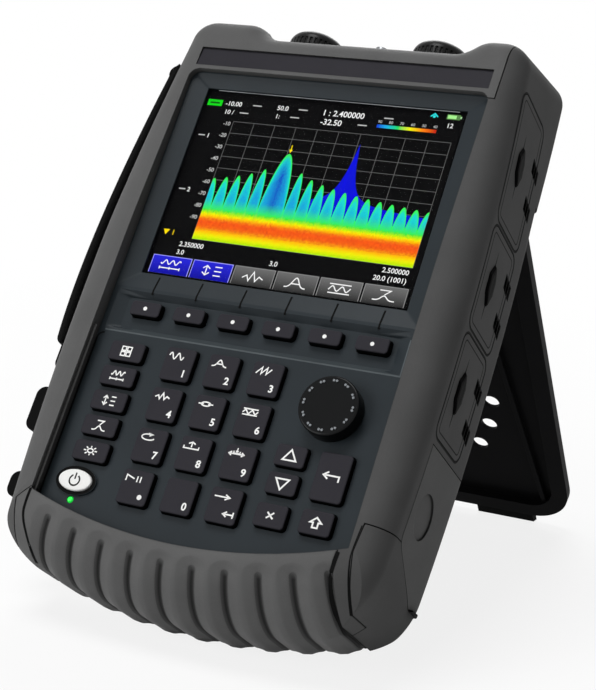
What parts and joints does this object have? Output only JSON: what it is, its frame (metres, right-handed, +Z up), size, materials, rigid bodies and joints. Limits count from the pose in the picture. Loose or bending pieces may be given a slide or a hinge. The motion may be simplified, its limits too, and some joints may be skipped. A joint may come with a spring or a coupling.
{
  "type": "handheld microwave analyzer",
  "caption": "Rugged handheld radio-frequency analyzer leaning on its kickstand, with a colour display, rubber keypad, tuning knob, capped connectors, side port doors and a hand strap.",
  "frame": {"origin": "middle of the bounding box's footprint, on the ground", "axes": "+Z up; the face looks towards -Y and up; +X to the right of a person facing it"},
  "size_m": [0.2024, 0.3034, 0.2625],
  "materials": {
    "gold": "gold plated",
    "soft_grey": "satin soft-touch moulding",
    "side_grey": "satin soft-touch moulding",
    "battery_grey": "smooth",
    "steel": "plain",
    "lens": "clear",
    "cap_black": "satin",
    "panel_dark": "fine texture",
    "key_dark": "satin",
    "strap_black": "woven",
    "board_green": "solder mask",
    "foot_rubber": "matte",
    "stand_black": "fine texture",
    "screen": "smooth",
    "nameplate_dark": "smooth",
    "socket_black": "smooth",
    "key_white": "smooth",
    "case_black": "fine texture",
    "plated": "plated",
    "led_green": "clear",
    "knob_black": "satin"
  },
  "bodies": {
    "housing": {"antenna_port": "gold", "battery_pack": "battery_grey", "bottom_grip": "soft_grey", "case_screws": "steel", "display_lens": "lens", "encoder": "steel", "front_panel": "panel_dark", "hand_strap": "strap_black", "hinge_pins": "steel", "keypad_board": "board_green", "keypad_mat": "foot_rubber", "lcd_module": "screen", "main_board": "board_green", "nameplate": "nameplate_dark", "overmold": "soft_grey", "port_sockets": "socket_black", "rear_case": "case_black", "rf_ports": "plated", "right_rail": "soft_grey", "status_led": "led_green", "strap_lugs": "case_black"},
    "battery_door": {"battery_door_corner": "soft_grey", "battery_door_panel": "side_grey"},
    "kickstand": {"kickstand": "stand_black", "kickstand_feet": "foot_rubber"},
    "port_door_upper": {"port_door_upper": "side_grey"},
    "port_door_middle": {"port_door_middle": "side_grey"},
    "port_door_lower": {"port_door_lower": "side_grey"},
    "dust_cap_left": {"dust_cap_left": "cap_black"},
    "dust_cap_right": {"dust_cap_right": "cap_black"},
    "tuning_knob": {"tuning_knob": "knob_black"},
    "function_key_1": {"function_key_1": "key_dark"},
    "function_key_2": {"function_key_2": "key_dark"},
    "function_key_3": {"function_key_3": "key_dark"},
    "function_key_4": {"function_key_4": "key_dark"},
    "function_key_5": {"function_key_5": "key_dark"},
    "key_0": {"key_0": "key_dark"},
    "key_1": {"key_1": "key_dark"},
    "key_2": {"key_2": "key_dark"},
    "key_3": {"key_3": "key_dark"},
    "key_4": {"key_4": "key_dark"},
    "key_5": {"key_5": "key_dark"},
    "key_6": {"key_6": "key_dark"},
    "key_7": {"key_7": "key_dark"},
    "key_8": {"key_8": "key_dark"},
    "key_9": {"key_9": "key_dark"},
    "key_back": {"key_back": "key_dark"},
    "key_down": {"key_down": "key_dark"},
    "key_enter": {"key_enter": "key_dark"},
    "key_esc": {"key_esc": "key_dark"},
    "key_point": {"key_point": "key_dark"},
    "key_shift": {"key_shift": "key_dark"},
    "key_up": {"key_up": "key_dark"},
    "power_key": {"power_key": "key_white"},
    "softkey_1": {"softkey_1": "key_dark"},
    "softkey_2": {"softkey_2": "key_dark"},
    "softkey_3": {"softkey_3": "key_dark"},
    "softkey_4": {"softkey_4": "key_dark"},
    "softkey_5": {"softkey_5": "key_dark"},
    "softkey_6": {"softkey_6": "key_dark"}
  },
  "joints": [
    {"name": "kickstand_fold", "type": "hinge", "parent": "housing", "child": "kickstand", "pos_m": [0.00888, 0.01681, 0.17677], "axis": [-1, 0, 0], "range_deg": [0, 69.5]},
    {"name": "port_door_upper_hinge", "type": "hinge", "parent": "housing", "child": "port_door_upper", "pos_m": [0.09901, 0.00653, 0.19671], "axis": [-0.0551, 0.5453, 0.8364], "range_deg": [0, 100]},
    {"name": "port_door_middle_hinge", "type": "hinge", "parent": "housing", "child": "port_door_middle", "pos_m": [0.10124, -0.02558, 0.14746], "axis": [-0.0159, 0.546, 0.8376], "range_deg": [0, 100]},
    {"name": "port_door_lower_hinge", "type": "hinge", "parent": "housing", "child": "port_door_lower", "pos_m": [0.10163, -0.05359, 0.10448], "axis": [0, 0.5461, 0.8377], "range_deg": [0, 100]},
    {"name": "battery_door_pull", "type": "slide", "parent": "housing", "child": "battery_door", "axis": [1, 0, 0], "range_m": [0, 0.03]},
    {"name": "dust_cap_left_pull", "type": "slide", "parent": "housing", "child": "dust_cap_left", "axis": [0, 0.5461, 0.8377], "range_m": [0, 0.018]},
    {"name": "dust_cap_right_pull", "type": "slide", "parent": "housing", "child": "dust_cap_right", "axis": [0, 0.5461, 0.8377], "range_m": [0, 0.018]},
    {"name": "tuning_knob_turn", "type": "hinge", "parent": "housing", "child": "tuning_knob", "pos_m": [0.05767, -0.11019, 0.11177], "axis": [0, -0.8377, 0.5461], "continuous": true},
    {"name": "power_key_press", "type": "slide", "parent": "housing", "child": "power_key", "axis": [0, 0.8377, -0.5461], "range_m": [0, 0.0012], "stiffness_N_per_m": 600},
    {"name": "key_5_press", "type": "slide", "parent": "housing", "child": "key_5", "axis": [0, 0.8377, -0.5461], "range_m": [0, 0.0012], "stiffness_N_per_m": 600},
    {"name": "softkey_1_press", "type": "slide", "parent": "housing", "child": "softkey_1", "axis": [0, 0.8377, -0.5461], "range_m": [0, 0.0012], "stiffness_N_per_m": 600},
    {"name": "function_key_1_press", "type": "slide", "parent": "housing", "child": "function_key_1", "axis": [0, 0.8377, -0.5461], "range_m": [0, 0.0012], "stiffness_N_per_m": 600},
    {"name": "function_key_2_press", "type": "slide", "parent": "housing", "child": "function_key_2", "axis": [0, 0.8377, -0.5461], "range_m": [0, 0.0012], "stiffness_N_per_m": 600},
    {"name": "function_key_3_press", "type": "slide", "parent": "housing", "child": "function_key_3", "axis": [0, 0.8377, -0.5461], "range_m": [0, 0.0012], "stiffness_N_per_m": 600},
    {"name": "function_key_4_press", "type": "slide", "parent": "housing", "child": "function_key_4", "axis": [0, 0.8377, -0.5461], "range_m": [0, 0.0012], "stiffness_N_per_m": 600},
    {"name": "function_key_5_press", "type": "slide", "parent": "housing", "child": "function_key_5", "axis": [0, 0.8377, -0.5461], "range_m": [0, 0.0012], "stiffness_N_per_m": 600},
    {"name": "key_0_press", "type": "slide", "parent": "housing", "child": "key_0", "axis": [0, 0.8377, -0.5461], "range_m": [0, 0.0012], "stiffness_N_per_m": 600},
    {"name": "key_1_press", "type": "slide", "parent": "housing", "child": "key_1", "axis": [0, 0.8377, -0.5461], "range_m": [0, 0.0012], "stiffness_N_per_m": 600},
    {"name": "key_2_press", "type": "slide", "parent": "housing", "child": "key_2", "axis": [0, 0.8377, -0.5461], "range_m": [0, 0.0012], "stiffness_N_per_m": 600},
    {"name": "key_3_press", "type": "slide", "parent": "housing", "child": "key_3", "axis": [0, 0.8377, -0.5461], "range_m": [0, 0.0012], "stiffness_N_per_m": 600},
    {"name": "key_4_press", "type": "slide", "parent": "housing", "child": "key_4", "axis": [0, 0.8377, -0.5461], "range_m": [0, 0.0012], "stiffness_N_per_m": 600},
    {"name": "key_6_press", "type": "slide", "parent": "housing", "child": "key_6", "axis": [0, 0.8377, -0.5461], "range_m": [0, 0.0012], "stiffness_N_per_m": 600},
    {"name": "key_7_press", "type": "slide", "parent": "housing", "child": "key_7", "axis": [0, 0.8377, -0.5461], "range_m": [0, 0.0012], "stiffness_N_per_m": 600},
    {"name": "key_8_press", "type": "slide", "parent": "housing", "child": "key_8", "axis": [0, 0.8377, -0.5461], "range_m": [0, 0.0012], "stiffness_N_per_m": 600},
    {"name": "key_9_press", "type": "slide", "parent": "housing", "child": "key_9", "axis": [0, 0.8377, -0.5461], "range_m": [0, 0.0012], "stiffness_N_per_m": 600},
    {"name": "key_back_press", "type": "slide", "parent": "housing", "child": "key_back", "axis": [0, 0.8377, -0.5461], "range_m": [0, 0.0012], "stiffness_N_per_m": 600},
    {"name": "key_down_press", "type": "slide", "parent": "housing", "child": "key_down", "axis": [0, 0.8377, -0.5461], "range_m": [0, 0.0012], "stiffness_N_per_m": 600},
    {"name": "key_enter_press", "type": "slide", "parent": "housing", "child": "key_enter", "axis": [0, 0.8377, -0.5461], "range_m": [0, 0.0012], "stiffness_N_per_m": 600},
    {"name": "key_esc_press", "type": "slide", "parent": "housing", "child": "key_esc", "axis": [0, 0.8377, -0.5461], "range_m": [0, 0.0012], "stiffness_N_per_m": 600},
    {"name": "key_point_press", "type": "slide", "parent": "housing", "child": "key_point", "axis": [0, 0.8377, -0.5461], "range_m": [0, 0.0012], "stiffness_N_per_m": 600},
    {"name": "key_shift_press", "type": "slide", "parent": "housing", "child": "key_shift", "axis": [0, 0.8377, -0.5461], "range_m": [0, 0.0012], "stiffness_N_per_m": 600},
    {"name": "key_up_press", "type": "slide", "parent": "housing", "child": "key_up", "axis": [0, 0.8377, -0.5461], "range_m": [0, 0.0012], "stiffness_N_per_m": 600},
    {"name": "softkey_2_press", "type": "slide", "parent": "housing", "child": "softkey_2", "axis": [0, 0.8377, -0.5461], "range_m": [0, 0.0012], "stiffness_N_per_m": 600},
    {"name": "softkey_3_press", "type": "slide", "parent": "housing", "child": "softkey_3", "axis": [0, 0.8377, -0.5461], "range_m": [0, 0.0012], "stiffness_N_per_m": 600},
    {"name": "softkey_4_press", "type": "slide", "parent": "housing", "child": "softkey_4", "axis": [0, 0.8377, -0.5461], "range_m": [0, 0.0012], "stiffness_N_per_m": 600},
    {"name": "softkey_5_press", "type": "slide", "parent": "housing", "child": "softkey_5", "axis": [0, 0.8377, -0.5461], "range_m": [0, 0.0012], "stiffness_N_per_m": 600},
    {"name": "softkey_6_press", "type": "slide", "parent": "housing", "child": "softkey_6", "axis": [0, 0.8377, -0.5461], "range_m": [0, 0.0012], "stiffness_N_per_m": 600}
  ]
}
